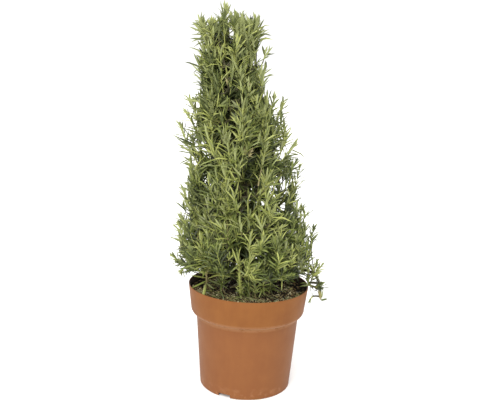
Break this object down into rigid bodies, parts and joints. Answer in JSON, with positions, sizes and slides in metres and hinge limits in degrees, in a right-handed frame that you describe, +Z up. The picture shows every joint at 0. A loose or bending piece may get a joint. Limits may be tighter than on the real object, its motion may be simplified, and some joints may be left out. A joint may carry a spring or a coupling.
{
  "type": "potted rosemary topiary",
  "caption": "Rosemary trained as a narrow leaning pyramid of upright leafy shoots, rooted in compost in a terracotta-coloured moulded plastic nursery pot with a deep collar.",
  "frame": {"origin": "middle of the flat pad under the pot, on the surface that the pot stands on", "axes": "+Z up, front towards -Y, +X to the right as seen from the front; the crown leans towards -X"},
  "size_m": [0.2574, 0.2409, 0.5918],
  "materials": {
    "pot_plastic": "moulded polypropylene, terracotta brown, satin and slightly scuffed",
    "compost": "damp dark peat compost with pale grit, moss and fallen needles",
    "bark": "grey-brown woody stems with fine flaking bark",
    "foliage": "narrow leathery olive-green leaves, paler grey-green underneath"
  },
  "bodies": {
    "root": {"pot": "pot_plastic", "compost": "compost", "trunk": "bark", "bough_1": "bark", "bough_2": "bark", "bough_3": "bark", "bough_4": "bark", "bough_5": "bark", "bough_6": "bark", "bough_7": "bark", "bough_8": "bark", "bough_9": "bark", "bough_10": "bark", "bough_11": "bark", "bough_12": "bark", "bough_13": "bark", "bough_14": "bark", "skirt_foliage_1": "foliage", "skirt_foliage_2": "foliage", "skirt_foliage_3": "foliage", "skirt_foliage_4": "foliage", "skirt_foliage_5": "foliage", "lower_foliage_1": "foliage", "lower_foliage_2": "foliage", "lower_foliage_3": "foliage", "lower_foliage_4": "foliage", "middle_foliage_1": "foliage", "middle_foliage_2": "foliage", "middle_foliage_3": "foliage", "middle_foliage_4": "foliage", "upper_foliage_1": "foliage", "upper_foliage_2": "foliage", "upper_foliage_3": "foliage", "top_foliage": "foliage", "drooping_shoot": "foliage"}
  },
  "joints": []
}
